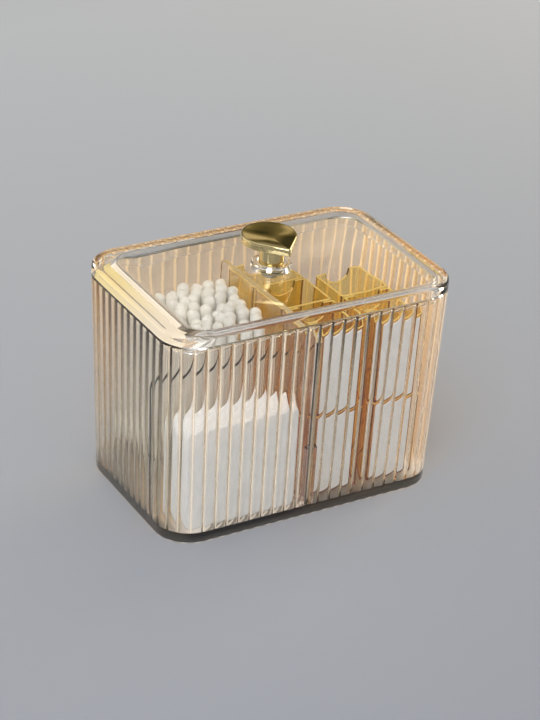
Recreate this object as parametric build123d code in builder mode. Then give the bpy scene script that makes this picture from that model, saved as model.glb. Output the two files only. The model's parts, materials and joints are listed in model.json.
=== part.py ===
from build123d import *
from math import cos, pi, sin
import os

# Lidded organiser for cotton pads and swabs. Millimetres, +Z up.
# Origin: centre of the underside. Front wall at -Y, left end at -X.

os.makedirs("parts", exist_ok=True)

# ---- outer case: clear box, smooth outside, fluted inside ----
case_length = 145.0
case_width = 95.0
case_height = 99.4
case_corner_radius = 16.5
case_draft = 2.4           # how far each foot edge stands inside the mouth edge
case_floor = 5.0
foot_edge_radius = 1.0
wall_thickness = 2.6       # at the cusps between two flutes
flute_depth = 0.8
long_wall_flutes = 18
short_wall_flutes = 10
corner_flutes = 4

# ---- lid ----
lid_side_height = 6.2
lid_plate_thickness = 2.4
lid_edge_radius = 2.0
lip_depth = 3.5
lip_thickness = 2.5
lid_bevel = 6.2            # how far the left end of the hollow slopes inwards up to the plate
lip_clearance = 0.5        # between the lip and the cusps of the mouth
collar_wall = 3.2
collar_height = 3.0
collar_edge_radius = 0.8

# ---- knob and its fixing ----
stem_diameter = 11.6
stem_height = 11.8
stem_seat_clearance = 0.2  # stem to collar, on the radius
spigot_diameter = 6.0
spigot_height = 2.0
spigot_clearance = 0.05
cap_thickness = 3.7
cap_radius = 12.8
cap_centre_y = 3.2
cap_tip_y = -15.5
cap_tip_radius = 1.2
cap_edge_radius = 0.8
cap_dish_depth = 0.7
cap_dish_radius = 75.0
screw_diameter = 4.0
screw_engagement = 8.0
screw_bore_clearance = 0.05
screw_head_diameter = 7.6
screw_head_height = 2.4
screw_slot_width = 1.0
screw_slot_depth = 1.1
washer_diameter = 10.0
washer_thickness = 0.8
hole_clearance = 0.2       # screw to washer and lid plate, on the radius

# ---- dividers and the rails that hold them ----
divider_thickness = 2.2
cross_divider_height = 85.0
pad_divider_height = 67.0
divider_end_clearance = 0.4
divider_corner_radius = 3.0
rail_thickness = 1.6
rail_height = 30.0
rail_reach = 2.5           # how far a rail stands in from the cusps at the floor
rail_root = 1.9            # how far a rail is rooted in the wall
rail_clearance = 0.15

# ---- amber bins, two columns, three rows, two tiers ----
bin_height = 40.5
bin_wall = 1.2
bin_floor = 1.2
bin_corner_radius = 1.6
bin_row_gap = 0.6
bin_column_gap = 5.3
bin_divider_gap = 2.1      # from the cross divider to the first column
bin_end_gap = 9.1          # from the right cusps at the floor to the second column
bin_back_gap = 1.5         # from the back cusps at the floor to the back row
bin_front_gap = 7.5        # from the front cusps at the floor to the front row
scoop_radius = 6.5
label_thickness = 0.6
label_side_margin = 1.5
label_end_margin = 1.2

# ---- cotton ----
pad_height = 50.0
pad_thickness = 2.0
pad_gap = 0.3
pad_corner_radius = 5.0
pad_count = 7
pad_wall_gap = 3.0         # from the front cusps at the floor
pad_end_gap = 6.5          # from the left cusps at the floor
pad_rail_gap = 0.5         # from the rails on the cross divider
pad_divider_gap = 1.2
swab_length = 75.0
swab_stick_diameter = 2.4
swab_head_diameter = 5.6
swab_head_length = 13.0
swab_shoulder = 4.5        # length of the cone between head and stick
swab_pitch = 6.45
swab_columns = 6
swab_rows = 8
swab_floor_gap = 0.3
swab_divider_gap = 0.8
swab_back_gap = 0.7        # from the rails on the back wall
swab_stray = 0.25          # how far a swab stands off its place in the row


def case_half(size, height):
    """Half the outer length or width of the case at a height."""
    return size / 2 - case_draft * (1 - height / case_height)


def cusp_half(size, height):
    """Half the inner length or width at the cusps, at a height."""
    return case_half(size, height) - wall_thickness


def side_flutes(start, end, outward, count):
    """Start, crest and end of each flute along one straight wall."""
    step = (end - start) / count
    flutes = []
    for index in range(count):
        first = start + step * index
        crest = first + step / 2 + outward * flute_depth
        flutes.append((first, crest, first + step))
    return flutes


def corner_arcs(centre, radius, start_angle):
    """Start, crest and end of each flute round one corner."""
    step = pi / 2 / corner_flutes
    flutes = []
    for index in range(corner_flutes):
        angle = start_angle + step * index
        first = centre + Vector(cos(angle), sin(angle)) * radius
        crest_angle = angle + step / 2
        crest = centre + Vector(cos(crest_angle), sin(crest_angle)) * (radius + flute_depth)
        last = centre + Vector(cos(angle + step), sin(angle + step)) * radius
        flutes.append((first, crest, last))
    return flutes


def flute_outline(height):
    """All flutes of the cavity at a height, anticlockwise from the right wall."""
    half_x = cusp_half(case_length, height)
    half_y = cusp_half(case_width, height)
    radius = case_corner_radius - wall_thickness
    x = half_x - radius
    y = half_y - radius
    flutes = side_flutes(Vector(half_x, -y), Vector(half_x, y), Vector(1, 0), short_wall_flutes)
    flutes += corner_arcs(Vector(x, y), radius, 0)
    flutes += side_flutes(Vector(x, half_y), Vector(-x, half_y), Vector(0, 1), long_wall_flutes)
    flutes += corner_arcs(Vector(-x, y), radius, pi / 2)
    flutes += side_flutes(Vector(-half_x, y), Vector(-half_x, -y), Vector(-1, 0), short_wall_flutes)
    flutes += corner_arcs(Vector(-x, -y), radius, pi)
    flutes += side_flutes(Vector(-x, -half_y), Vector(x, -half_y), Vector(0, -1), long_wall_flutes)
    flutes += corner_arcs(Vector(x, -y), radius, 3 * pi / 2)
    return flutes


# ---- places of the pads and of the divider behind them ----
pad_pitch = pad_thickness + pad_gap
first_pad_front = -cusp_half(case_width, case_floor) + pad_wall_gap
last_pad_back = first_pad_front + pad_pitch * (pad_count - 1) + pad_thickness
pad_divider_y = last_pad_back + pad_divider_gap + divider_thickness / 2

# ---- clear case ----
rail_offset = divider_thickness / 2 + rail_clearance + rail_thickness / 2
rail_span = rail_reach + rail_root
long_rail_y = cusp_half(case_width, case_floor) + rail_root - rail_span / 2
short_rail_x = cusp_half(case_length, case_floor) + rail_root - rail_span / 2
rail_places = Locations(
    (rail_offset, long_rail_y, case_floor),
    (-rail_offset, long_rail_y, case_floor),
    (rail_offset, -long_rail_y, case_floor),
    (-rail_offset, -long_rail_y, case_floor),
)

with BuildPart() as case:
    with BuildSketch() as foot_outline:
        RectangleRounded(
            2 * case_half(case_length, 0), 2 * case_half(case_width, 0), case_corner_radius
        )
    with BuildSketch(Plane.XY.offset(case_height)) as mouth_outline:
        RectangleRounded(case_length, case_width, case_corner_radius)
    loft(ruled=True)
    fillet(case.faces().sort_by(Axis.Z)[0].edges(), foot_edge_radius)
    for level in (case_floor, case_height):
        with BuildSketch(Plane.XY.offset(level)) as cavity_outline:
            with BuildLine() as flute_line:
                for first, crest, last in flute_outline(level):
                    ThreePointArc(first, crest, last)
            make_face()
    loft(ruled=True, mode=Mode.SUBTRACT)
    with rail_places:
        Box(
            rail_thickness, rail_span, rail_height,
            align=(Align.CENTER, Align.CENTER, Align.MIN),
        )
    with Locations(
        (-short_rail_x, pad_divider_y + rail_offset, case_floor),
        (-short_rail_x, pad_divider_y - rail_offset, case_floor),
    ):
        Box(
            rail_span, rail_thickness, rail_height,
            align=(Align.CENTER, Align.CENTER, Align.MIN),
        )
case.part.label = "case"
export_step(case.part, "parts/case.step")

# ---- lid: plate with a skirt on the rim, a lip inside the mouth and a hollow ----
lid_top = case_height + lid_side_height
plate_underside = lid_top - lid_plate_thickness
lip_offset = wall_thickness + lip_clearance
lip_foot = case_height - lip_depth
recess_offset = lip_offset + lip_thickness
collar_inner_radius = stem_diameter / 2 + stem_seat_clearance
collar_outer_radius = collar_inner_radius + collar_wall
screw_hole_radius = screw_diameter / 2 + hole_clearance


def inset_rectangle(inset):
    """The mouth's outline, moved inwards, in the sketch that calls it."""
    RectangleRounded(
        case_length - 2 * inset, case_width - 2 * inset, case_corner_radius - inset
    )


with BuildPart() as lid:
    with BuildSketch(Plane.XY.offset(case_height)):
        inset_rectangle(0)
    extrude(amount=lid_side_height)
    fillet(lid.faces().sort_by(Axis.Z)[-1].edges(), lid_edge_radius)
    with BuildSketch(Plane.XY.offset(lip_foot)):
        inset_rectangle(lip_offset)
    extrude(amount=lip_depth)
    with BuildSketch(Plane.XY.offset(lip_foot)):
        inset_rectangle(recess_offset)
    with BuildSketch(Plane.XY.offset(plate_underside)):
        with Locations((lid_bevel / 2, 0)):
            RectangleRounded(
                case_length - 2 * recess_offset - lid_bevel,
                case_width - 2 * recess_offset,
                case_corner_radius - recess_offset,
            )
    loft(ruled=True, mode=Mode.SUBTRACT)
    with BuildSketch(Plane.XY.offset(lid_top)):
        Circle(collar_outer_radius)
        Circle(collar_inner_radius, mode=Mode.SUBTRACT)
    extrude(amount=collar_height)
    fillet(lid.faces().sort_by(Axis.Z)[-1].edges(), collar_edge_radius)
    with Locations((0, 0, plate_underside)):
        Cylinder(
            screw_hole_radius, lid_plate_thickness,
            align=(Align.CENTER, Align.CENTER, Align.MIN), mode=Mode.SUBTRACT,
        )
lid.part.label = "lid"
export_step(lid.part, "parts/lid.step")

# ---- knob: round stem, leaf-shaped cap, washer and screw ----
screw_bore_radius = screw_diameter / 2 + screw_bore_clearance
stem_top = lid_top + stem_height

with BuildPart() as knob_stem:
    with BuildSketch(Plane.XY.offset(lid_top)):
        Circle(stem_diameter / 2)
    extrude(amount=stem_height)
    with BuildSketch(Plane.XY.offset(stem_top)):
        Circle(spigot_diameter / 2)
    extrude(amount=spigot_height)
    with BuildSketch(Plane.XY.offset(lid_top)):
        Circle(screw_bore_radius)
    extrude(amount=screw_engagement + screw_bore_clearance, mode=Mode.SUBTRACT)
knob_stem.part.label = "knob_stem"
export_step(knob_stem.part, "parts/knob_stem.step")

with BuildPart() as knob_cap:
    with BuildSketch(Plane.XY.offset(stem_top)):
        with Locations((0, cap_centre_y)):
            Circle(cap_radius)
        with Locations((0, cap_tip_y + cap_tip_radius)):
            Circle(cap_tip_radius)
        make_hull()
    extrude(amount=cap_thickness)
    fillet(knob_cap.faces().sort_by(Axis.Z)[-1].edges(), cap_edge_radius)
    with Locations((0, cap_centre_y, stem_top + cap_thickness - cap_dish_depth + cap_dish_radius)):
        Sphere(cap_dish_radius, mode=Mode.SUBTRACT)
    with Locations((0, 0, stem_top)):
        Cylinder(
            spigot_diameter / 2 + spigot_clearance, spigot_height + spigot_clearance,
            align=(Align.CENTER, Align.CENTER, Align.MIN), mode=Mode.SUBTRACT,
        )
knob_cap.part.label = "knob_cap"
export_step(knob_cap.part, "parts/knob_cap.step")

washer_bottom = plate_underside - washer_thickness

with BuildPart() as knob_washer:
    with BuildSketch(Plane.XY.offset(washer_bottom)):
        Circle(washer_diameter / 2)
        Circle(screw_hole_radius, mode=Mode.SUBTRACT)
    extrude(amount=washer_thickness)
knob_washer.part.label = "knob_washer"
export_step(knob_washer.part, "parts/knob_washer.step")

head_bottom = washer_bottom - screw_head_height

with BuildPart() as knob_screw:
    with BuildSketch(Plane.XY.offset(head_bottom)):
        Circle(screw_head_diameter / 2)
    extrude(amount=screw_head_height)
    chamfer(knob_screw.faces().sort_by(Axis.Z)[0].edges(), screw_slot_depth / 2)
    with BuildSketch(Plane.XY.offset(washer_bottom)):
        Circle(screw_diameter / 2)
    extrude(amount=washer_thickness + lid_plate_thickness + screw_engagement)
    with BuildSketch(Plane.XY.offset(head_bottom)):
        Rectangle(screw_head_diameter, screw_slot_width)
    extrude(amount=screw_slot_depth, mode=Mode.SUBTRACT)
knob_screw.part.label = "knob_screw"
export_step(knob_screw.part, "parts/knob_screw.step")

# ---- cross divider: splits the case into a cotton side and a bin side ----
divider_foot = case_floor
cross_divider_top = divider_foot + cross_divider_height
divider_face = divider_thickness / 2


def wall_reach(size, height):
    """Half the length of a divider that runs from wall to wall, at a height."""
    return cusp_half(size, height) - divider_end_clearance


with BuildPart() as cross_divider:
    with BuildSketch(Plane.YZ.offset(-divider_face)) as cross_outline:
        with BuildLine():
            Polyline(
                (-wall_reach(case_width, divider_foot), divider_foot),
                (wall_reach(case_width, divider_foot), divider_foot),
                (wall_reach(case_width, cross_divider_top), cross_divider_top),
                (-wall_reach(case_width, cross_divider_top), cross_divider_top),
                close=True,
            )
        make_face()
        fillet(cross_outline.vertices().group_by(Axis.Z)[-1], divider_corner_radius)
    extrude(amount=divider_thickness)
    with Locations(
        (-divider_face - rail_reach / 2, pad_divider_y + rail_offset, divider_foot),
        (-divider_face - rail_reach / 2, pad_divider_y - rail_offset, divider_foot),
    ):
        Box(
            rail_reach, rail_thickness, rail_height,
            align=(Align.CENTER, Align.CENTER, Align.MIN),
        )
cross_divider.part.label = "cross_divider"
export_step(cross_divider.part, "parts/cross_divider.step")

# ---- pad divider: low wall between the pads and the swabs ----
pad_divider_top = divider_foot + pad_divider_height
pad_divider_end = -divider_face - divider_end_clearance

with BuildPart() as pad_divider:
    with BuildSketch(Plane.XZ.offset(-(pad_divider_y + divider_face))) as pad_outline:
        with BuildLine():
            Polyline(
                (-wall_reach(case_length, divider_foot), divider_foot),
                (pad_divider_end, divider_foot),
                (pad_divider_end, pad_divider_top),
                (-wall_reach(case_length, pad_divider_top), pad_divider_top),
                close=True,
            )
        make_face()
        fillet(pad_outline.vertices().group_by(Axis.Z)[-1], divider_corner_radius)
    extrude(amount=divider_thickness)
pad_divider.part.label = "pad_divider"
export_step(pad_divider.part, "parts/pad_divider.step")

# ---- amber bins; the top bin of the right column's back row is absent ----
bin_run_x = cusp_half(case_length, case_floor) - divider_face - bin_divider_gap - bin_end_gap
bin_width = (bin_run_x - bin_column_gap) / 2
bin_run_y = 2 * cusp_half(case_width, case_floor) - bin_front_gap - bin_back_gap
bin_depth = (bin_run_y - 2 * bin_row_gap) / 3
first_column_x = divider_face + bin_divider_gap + bin_width / 2
column_x = {"left": first_column_x, "right": first_column_x + bin_width + bin_column_gap}
back_row_y = cusp_half(case_width, case_floor) - bin_back_gap - bin_depth / 2
row_pitch = bin_depth + bin_row_gap
row_y = {"back": back_row_y, "middle": back_row_y - row_pitch, "front": back_row_y - 2 * row_pitch}
tier_z = {"lower": case_floor, "upper": case_floor + bin_height}
absent_bin = ("right", "back", "upper")


def make_bin(x, y, z):
    """Open box with a finger scoop in its back wall."""
    inner_width = bin_width - 2 * bin_wall
    inner_depth = bin_depth - 2 * bin_wall
    with BuildPart() as shell:
        with BuildSketch(Plane((x, y, z))):
            RectangleRounded(bin_width, bin_depth, bin_corner_radius)
        extrude(amount=bin_height)
        with BuildSketch(Plane((x, y, z + bin_floor))):
            RectangleRounded(inner_width, inner_depth, bin_corner_radius - bin_wall)
        extrude(amount=bin_height - bin_floor, mode=Mode.SUBTRACT)
        with BuildSketch(Plane.XZ.offset(-(y + bin_depth / 2))):
            with Locations((x, z + bin_height)):
                Circle(scoop_radius)
        extrude(amount=bin_wall, mode=Mode.SUBTRACT)
    return shell.part


def make_label(x, y, z):
    """Blank pale label on a bin's front face."""
    face_width = bin_width - 2 * bin_corner_radius
    with BuildPart() as plate:
        with BuildSketch(Plane.XZ.offset(-(y - bin_depth / 2))):
            with Locations((x, z + bin_height / 2)):
                Rectangle(face_width - label_side_margin, bin_height - 2 * label_end_margin)
        extrude(amount=label_thickness)
    return plate.part


for column, x in column_x.items():
    for row, y in row_y.items():
        for tier, z in tier_z.items():
            if (column, row, tier) == absent_bin:
                continue
            amber_bin = make_bin(x, y, z)
            amber_bin.label = f"bin_{column}_{row}_{tier}"
            export_step(amber_bin, f"parts/{amber_bin.label}.step")
            if row == "front":
                bin_label = make_label(x, y, z)
                bin_label.label = f"bin_label_{column}_{tier}"
                export_step(bin_label, f"parts/{bin_label.label}.step")

# ---- cotton pads: they stand on edge behind the front wall ----
pad_right = -divider_face - rail_reach - pad_rail_gap
pad_left = -cusp_half(case_length, case_floor) + pad_end_gap
pad_width = pad_right - pad_left
pad_centre_x = (pad_left + pad_right) / 2

with BuildPart() as cotton_pads:
    for index in range(pad_count):
        pad_back = first_pad_front + pad_pitch * index + pad_thickness
        with BuildSketch(Plane.XZ.offset(-pad_back)):
            with Locations((pad_centre_x, case_floor + pad_height / 2)):
                RectangleRounded(pad_width, pad_height, pad_corner_radius)
        extrude(amount=pad_thickness)
cotton_pads.part.label = "cotton_pads"
export_step(cotton_pads.part, "parts/cotton_pads.step")

# ---- cotton swabs: they stand upright in the back left corner ----
swab_foot = case_floor + swab_floor_gap
swab_first_x = -divider_face - swab_divider_gap - swab_head_diameter / 2
swab_first_y = (
    cusp_half(case_width, case_floor) - rail_reach - swab_back_gap - swab_head_diameter / 2
)
swab_row_pitch = swab_pitch * 3**0.5 / 2
stick_radius = swab_stick_diameter / 2
head_radius = swab_head_diameter / 2

swab_places = []
for row in range(swab_rows):
    for column in range(swab_columns - row % 2):
        stray_angle = 2.4 * (row * swab_columns + column)
        swab_x = swab_first_x - swab_pitch * (column + row % 2 / 2) + swab_stray * cos(stray_angle)
        swab_y = swab_first_y - swab_row_pitch * row + swab_stray * sin(stray_angle)
        swab_places.append((swab_x, swab_y, swab_foot))


def head_profile(tip, sign):
    """Half of a swab's head from its tip on the axis; sign is +1 for the lower head."""
    round_end = tip + sign * head_radius
    mid_z = round_end - sign * head_radius * cos(pi / 4)
    ThreePointArc((0, tip), (head_radius * sin(pi / 4), mid_z), (head_radius, round_end))
    shoulder = tip + sign * (swab_head_length - swab_shoulder)
    Line((head_radius, round_end), (head_radius, shoulder))
    Line((head_radius, shoulder), (stick_radius, tip + sign * swab_head_length))


with BuildPart() as swab:
    with BuildSketch(Plane.XZ):
        with BuildLine():
            head_profile(0, 1)
            Line((stick_radius, swab_head_length), (stick_radius, swab_length - swab_head_length))
            head_profile(swab_length, -1)
            Line((0, swab_length), (0, 0))
        make_face()
    revolve(axis=Axis.Z)

with BuildPart() as cotton_swabs:
    with Locations(*swab_places):
        add(swab.part)
cotton_swabs.part.label = "cotton_swabs"
export_step(cotton_swabs.part, "parts/cotton_swabs.step")
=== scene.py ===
import json
from math import asin, cos, exp, pi, radians, sin, sqrt
from random import Random

import bmesh
import bpy
from mathutils import Matrix, Vector, noise


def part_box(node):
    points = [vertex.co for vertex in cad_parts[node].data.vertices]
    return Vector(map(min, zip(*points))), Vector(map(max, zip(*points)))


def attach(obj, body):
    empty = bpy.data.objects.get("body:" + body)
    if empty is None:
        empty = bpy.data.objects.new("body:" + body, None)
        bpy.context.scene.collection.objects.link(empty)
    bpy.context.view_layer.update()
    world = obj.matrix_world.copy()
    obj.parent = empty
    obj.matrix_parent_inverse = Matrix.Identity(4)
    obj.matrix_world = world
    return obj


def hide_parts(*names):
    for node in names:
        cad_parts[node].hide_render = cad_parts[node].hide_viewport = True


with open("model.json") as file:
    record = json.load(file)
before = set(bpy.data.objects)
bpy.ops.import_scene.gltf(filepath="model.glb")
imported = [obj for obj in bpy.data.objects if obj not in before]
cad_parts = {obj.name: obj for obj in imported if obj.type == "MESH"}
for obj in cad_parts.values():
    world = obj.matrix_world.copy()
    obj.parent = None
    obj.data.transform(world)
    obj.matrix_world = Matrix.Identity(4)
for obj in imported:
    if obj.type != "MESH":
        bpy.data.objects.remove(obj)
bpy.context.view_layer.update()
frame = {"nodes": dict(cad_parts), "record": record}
MM = 0.001

# ---- sizes, as the model has them, in metres ----
case_low, case_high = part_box("case")
CASE_LENGTH = case_high.x - case_low.x
CASE_WIDTH = case_high.y - case_low.y
CASE_HEIGHT = case_high.z
CORNER_RADIUS = 16.5 * MM
CASE_DRAFT = 2.4 * MM
CASE_FLOOR = 5 * MM
FOOT_RADIUS = 1 * MM
RIM_RADIUS = 0.3 * MM
WALL = 2.6 * MM
FLUTE_DEPTH = 0.8 * MM
LONG_FLUTES = 18
SHORT_FLUTES = 10
CORNER_FLUTES = 4
FLUTE_STEPS = 12

LID_SIDE = 6.2 * MM
LID_PLATE = 2.4 * MM
LID_EDGE = 2.0 * MM
LIP_DEPTH = 3.5 * MM
LIP_PLAY = 0.5 * MM
LIP_THICKNESS = 2.5 * MM
LIP_OFFSET = WALL + LIP_PLAY
RECESS_OFFSET = LIP_OFFSET + LIP_THICKNESS
LID_BEVEL = 6.2 * MM
RECESS_FILLET = 0.8 * MM
SMALL_EDGE = 0.25 * MM
SEAT_GAP = 0.02 * MM    # keeps a piece just off what carries it

# ---- camera, fitted to the edges of the box in the 540 by 720 photograph ----
CAMERA_AZIMUTH = radians(-30.967)
CAMERA_ELEVATION = radians(28.863)
CAMERA_ROLL = radians(3.199)
CAMERA_DISTANCE = 0.9871
CAMERA_TARGET = Vector((0, 0, 0.04833))
CAMERA_LENS = 106.82
CAMERA_SHIFT = (0.00732, 0.02589)
CAMERA_CLIP = (0.01, 20)


# ======== mesh helpers ========

def new_piece(name, vertices, faces, crease=25):
    """Mesh object with outward normals, smooth but for edges sharper than crease degrees."""
    mesh = bpy.data.meshes.new(name)
    mesh.from_pydata([tuple(v) for v in vertices], [], faces)
    mesh.validate()
    work = bmesh.new()
    work.from_mesh(mesh)
    bmesh.ops.recalc_face_normals(work, faces=work.faces)
    work.to_mesh(mesh)
    work.free()
    piece = bpy.data.objects.new(name, mesh)
    bpy.context.scene.collection.objects.link(piece)
    mesh.shade_smooth()
    mesh.set_sharp_from_angle(angle=radians(crease))
    return piece


def ring_faces(count, levels):
    """Quads between rings of count points, and a cap on each end."""
    faces = []
    for level in range(levels - 1):
        base = level * count
        for i in range(count):
            j = (i + 1) % count
            faces.append((base + i, base + j, base + count + j, base + count + i))
    last = (levels - 1) * count
    faces.append(tuple(reversed(range(count))))
    faces.append(tuple(range(last, last + count)))
    return faces


def mark_points(piece, name, value_at):
    """Point attribute of a piece, from value_at(index, place)."""
    marks = piece.data.attributes.new(name, "FLOAT", "POINT")
    for index, vertex in enumerate(piece.data.vertices):
        marks.data[index].value = value_at(index, vertex.co)


def mark_faces(piece, name, value_at):
    """Face attribute of a piece, from value_at(middle, normal)."""
    marks = piece.data.attributes.new(name, "FLOAT", "FACE")
    for index, polygon in enumerate(piece.data.polygons):
        marks.data[index].value = value_at(polygon.center, polygon.normal)


def smooth_step(value, low, high):
    """0 up to low, 1 from high on, and a smooth rise between."""
    t = min(1.0, max(0.0, (value - low) / (high - low)))
    return t * t * (3 - 2 * t)


def ring_solid(name, rings, crease=25):
    """Closed solid through rings that all have as many points."""
    vertices = [point for ring in rings for point in ring]
    return new_piece(name, vertices, ring_faces(len(rings[0]), len(rings)), crease)


def join_solids(name, solids, crease=25):
    """One object of several solids, each given as its vertices and faces."""
    vertices, faces = [], []
    for points, polygons in solids:
        start = len(vertices)
        vertices += points
        faces += [tuple(start + i for i in polygon) for polygon in polygons]
    return new_piece(name, vertices, faces, crease)


def at_height(outline, z):
    return [Vector((x, y, z)) for x, y in outline]


def arc_fractions(steps):
    """Sine and cosine of evenly spread angles over a quarter turn."""
    return [(sin(pi / 2 * i / steps), cos(pi / 2 * i / steps)) for i in range(steps + 1)]


def flute_push(i, bulge):
    """How far step i of a wall is pushed out: bulge at a flute's middle, nothing at its edges."""
    t = i / FLUTE_STEPS % 1
    return bulge * 4 * t * (1 - t)


def case_outline(half_x, half_y, radius, bulge=0.0):
    """Rounded rectangle, cut as the flutes are; bulge pushes each flute's middle outwards."""
    x, y = half_x - radius, half_y - radius
    walls = (
        (Vector((half_x, -y)), Vector((half_x, y)), Vector((1, 0)), SHORT_FLUTES),
        (Vector((x, half_y)), Vector((-x, half_y)), Vector((0, 1)), LONG_FLUTES),
        (Vector((-half_x, y)), Vector((-half_x, -y)), Vector((-1, 0)), SHORT_FLUTES),
        (Vector((-x, -half_y)), Vector((x, -half_y)), Vector((0, -1)), LONG_FLUTES),
    )
    centres = (Vector((x, y)), Vector((-x, y)), Vector((-x, -y)), Vector((x, -y)))
    outline = []
    for quarter in range(4):
        start, end, outward, flutes = walls[quarter]
        for i in range(flutes * FLUTE_STEPS):
            on_line = start.lerp(end, i / (flutes * FLUTE_STEPS))
            outline.append(on_line + outward * flute_push(i, bulge))
        for i in range(CORNER_FLUTES * FLUTE_STEPS):
            angle = pi / 2 * (quarter + i / (CORNER_FLUTES * FLUTE_STEPS))
            reach = radius + flute_push(i, bulge)
            outline.append(centres[quarter] + Vector((cos(angle), sin(angle))) * reach)
    return [(point.x, point.y) for point in outline]


def rounded_rectangle(half_x, half_y, radius, corner_steps, side_steps=1):
    """Points of a rounded rectangle about the origin, anticlockwise."""
    x, y = half_x - radius, half_y - radius
    corners = ((x, y), (-x, y), (-x, -y), (x, -y))
    outline = []
    for quarter, (cx, cy) in enumerate(corners):
        for i in range(corner_steps + 1):
            angle = pi / 2 * (quarter + i / corner_steps)
            outline.append(Vector((cx + radius * cos(angle), cy + radius * sin(angle))))
        next_x, next_y = corners[(quarter + 1) % 4]
        angle = pi / 2 * (quarter + 1)
        edge_end = Vector((next_x + radius * cos(angle), next_y + radius * sin(angle)))
        edge_start = outline[-1]
        for i in range(1, side_steps):
            outline.append(edge_start.lerp(edge_end, i / side_steps))
    return [(point.x, point.y) for point in outline]


def rectangle_corners(half_x, half_y):
    """Corners of a rectangle about the origin, anticlockwise."""
    return [(-half_x, -half_y), (half_x, -half_y), (half_x, half_y), (-half_x, half_y)]


def box_solid(low, high):
    """Plain block between two corners, as vertices and faces."""
    middle, half = (low + high) / 2, (high - low) / 2
    corners = rectangle_corners(half.x, half.y)
    points = [Vector((middle.x + x, middle.y + y, z)) for z in (low.z, high.z) for x, y in corners]
    return points, ring_faces(count=4, levels=2)


# ======== material helpers ========

NOISE_RANGE = (0.3, 0.7)    # most of a noise texture's values
MIX_SHARE, MIX_FIRST, MIX_SECOND, MIX_RESULT = 0, 6, 7, 2    # a Mix node's colour sockets
# Painted light on the clear plastics: the tone it deepens to where it is faint, the reach of its
# colour run along Y, and the share of it lit from behind.
PAINTED_LIGHT_FAINT_TONE = (0.75, 0.58, 0.40)
PAINTED_LIGHT_REACH = 50 * MM
THROUGH_SHARE = 0.4


def new_material(name):
    material = bpy.data.materials.new(name)
    material.use_nodes = True
    nodes = material.node_tree.nodes
    return material, nodes, material.node_tree.links, nodes["Principled BSDF"]


def object_noise(nodes, links, scale, detail, stretch=(1, 1, 1)):
    """Noise over the object's own coordinates, scale in cells per metre."""
    place = nodes.new("ShaderNodeTexCoord")
    mapping = nodes.new("ShaderNodeMapping")
    mapping.inputs["Scale"].default_value = stretch
    texture = nodes.new("ShaderNodeTexNoise")
    texture.inputs["Scale"].default_value = scale
    texture.inputs["Detail"].default_value = detail
    links.new(place.outputs["Object"], mapping.inputs["Vector"])
    links.new(mapping.outputs["Vector"], texture.inputs["Vector"])
    return texture.outputs["Fac"]


def object_y(nodes, links):
    """The object's own Y coordinate, in metres."""
    place = nodes.new("ShaderNodeTexCoord")
    split = nodes.new("ShaderNodeSeparateXYZ")
    links.new(place.outputs["Object"], split.inputs["Vector"])
    return split.outputs["Y"]


def mark_value(nodes, name):
    """What mark_points or mark_faces wrote on the piece under this name."""
    marks = nodes.new("ShaderNodeAttribute")
    marks.attribute_name = name
    return marks.outputs["Fac"]


def map_range(nodes, links, source, given, wanted=(0.0, 1.0)):
    """The source's given range mapped to the wanted range, and held at its ends."""
    node = nodes.new("ShaderNodeMapRange")
    node.inputs["From Min"].default_value, node.inputs["From Max"].default_value = given
    node.inputs["To Min"].default_value, node.inputs["To Max"].default_value = wanted
    links.new(source, node.inputs["Value"])
    return node.outputs["Result"]


def spread(nodes, links, noise_value, low, high):
    """A noise's usual range mapped to low to high."""
    return map_range(nodes, links, noise_value, NOISE_RANGE, (low, high))


def colour_ramp(nodes, links, source, *stops):
    """Colour that runs through the (position, colour) stops as the source goes from 0 to 1."""
    ramp = nodes.new("ShaderNodeValToRGB")
    elements = ramp.color_ramp.elements
    while len(elements) < len(stops):
        elements.new(0.5)
    for element, (position, colour) in zip(elements, stops):
        element.position = position
        element.color = (*colour, 1)
    links.new(source, ramp.inputs["Fac"])
    return ramp.outputs["Color"]


def two_colours(nodes, links, noise_value, first, second):
    return colour_ramp(nodes, links, noise_value, *zip(NOISE_RANGE, (first, second)))


def mix_colours(nodes, links, share, first, second, blend="MIX"):
    """Mix of two colours, each a socket or three plain numbers; share is a socket."""
    mix = nodes.new("ShaderNodeMix")
    mix.data_type = "RGBA"
    mix.blend_type = blend
    links.new(share, mix.inputs[MIX_SHARE])
    for index, colour in ((MIX_FIRST, first), (MIX_SECOND, second)):
        if isinstance(colour, tuple):
            mix.inputs[index].default_value = (*colour, 1)
        else:
            links.new(colour, mix.inputs[index])
    return mix.outputs[MIX_RESULT]


def mix_shaders(nodes, links, share, first, second):
    """Mix of two shaders; share is a socket or a plain number."""
    mix = nodes.new("ShaderNodeMixShader")
    if isinstance(share, float):
        mix.inputs["Fac"].default_value = share
    else:
        links.new(share, mix.inputs["Fac"])
    links.new(first, mix.inputs[1])
    links.new(second, mix.inputs[2])
    return mix.outputs["Shader"]


def add_bump(nodes, links, shader, source, strength, distance):
    bump = nodes.new("ShaderNodeBump")
    bump.inputs["Strength"].default_value = strength
    bump.inputs["Distance"].default_value = distance
    links.new(source, bump.inputs["Height"])
    links.new(bump.outputs["Normal"], shader.inputs["Normal"])


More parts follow.
